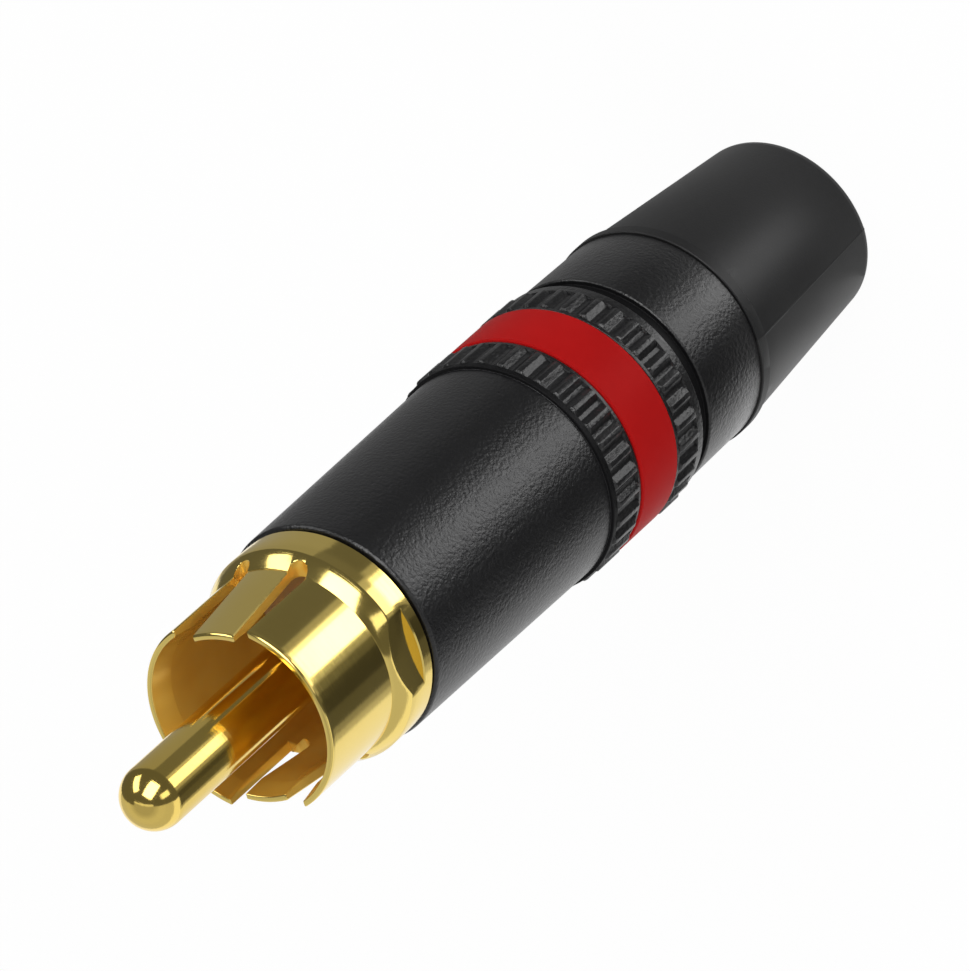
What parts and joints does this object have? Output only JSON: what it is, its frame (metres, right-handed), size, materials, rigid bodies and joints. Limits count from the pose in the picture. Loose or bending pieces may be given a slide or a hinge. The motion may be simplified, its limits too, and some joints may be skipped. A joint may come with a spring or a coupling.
{
  "type": "rca plug",
  "caption": "Phono cable plug: gilt pin inside a slotted sleeve, knurled screw-on black shell with a red coding ring, cable chuck and tapered boot.",
  "frame": {"origin": "centre of the boot's rear face, on the plug's axis", "axes": "+Z along the plug's axis towards the pin tip, +X through a wrench flat, +Y through a bent contact finger"},
  "size_m": [0.0122, 0.0122, 0.0571],
  "materials": {
    "gold_plate": "polished plating",
    "shell_black": "satin with a fine grain",
    "ring_red": "gloss",
    "boot_black": "smooth matte",
    "insulator_amber": "moulded",
    "chuck_black": "moulded"
  },
  "bodies": {
    "housing": {"shell": "shell_black", "coding_ring": "ring_red", "boot": "boot_black"},
    "grip": {"chuck": "chuck_black"},
    "insert": {"outer_contact": "gold_plate", "insulator": "insulator_amber", "centre_pin": "gold_plate", "ground_lug": "gold_plate"}
  },
  "joints": [
    {"name": "unscrew_turn", "type": "hinge", "parent": "housing", "child": "grip", "pos_m": [0, 0, 0.0265], "axis": [0, 0, 1], "range_deg": [0, 1800]},
    {"name": "unscrew_rise", "type": "slide", "parent": "grip", "child": "insert", "axis": [0, 0, 1], "range_m": [0, 0.005]}
  ],
  "couplings": [
    {"joint": "unscrew_rise", "follows": "unscrew_turn", "m_per_rad": 0.00015915}
  ]
}
